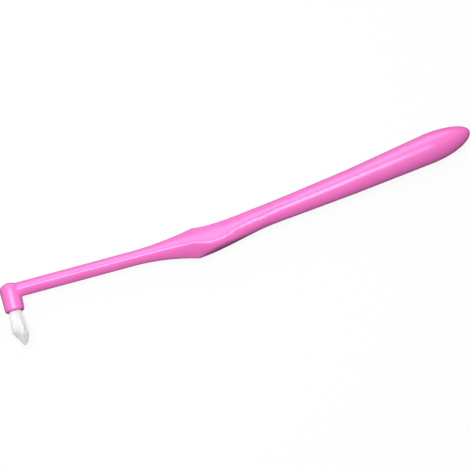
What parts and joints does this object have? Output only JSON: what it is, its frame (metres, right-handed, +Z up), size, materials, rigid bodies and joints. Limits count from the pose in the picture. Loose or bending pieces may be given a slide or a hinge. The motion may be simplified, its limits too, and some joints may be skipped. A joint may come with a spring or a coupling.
{
  "type": "single-tuft brush",
  "caption": "Slim dental hand brush with one pointed tuft set across the end of a straight neck, a faceted knuckle with a finger rest, and a tapered handle with a rounded end.",
  "frame": {"origin": "on the table, under the middle of the brush's box, with the brush at rest on its side", "axes": "+X along the neck from the tuft towards the end of the handle, +Y away from the tuft's tip, +Z up from the table. The brush's plane of symmetry is 6.9 degrees off the table, rolled about the handle's axis, because the brush rests on the belly, the knuckle and the edge of the head"},
  "size_m": [0.1648, 0.034, 0.0095],
  "materials": {
    "pink_plastic": "glossy moulded plastic",
    "anchor_metal": "plain rolled strip",
    "nylon": "drawn nylon filament"
  },
  "bodies": {
    "root": {"handle": "pink_plastic", "anchor": "anchor_metal", "filament_row_01": "nylon", "filament_row_02": "nylon", "filament_row_03": "nylon", "filament_row_04": "nylon", "filament_row_05": "nylon", "filament_row_06": "nylon", "filament_row_07": "nylon", "filament_row_08": "nylon", "filament_row_09": "nylon", "filament_row_10": "nylon", "filament_row_11": "nylon"}
  },
  "joints": []
}
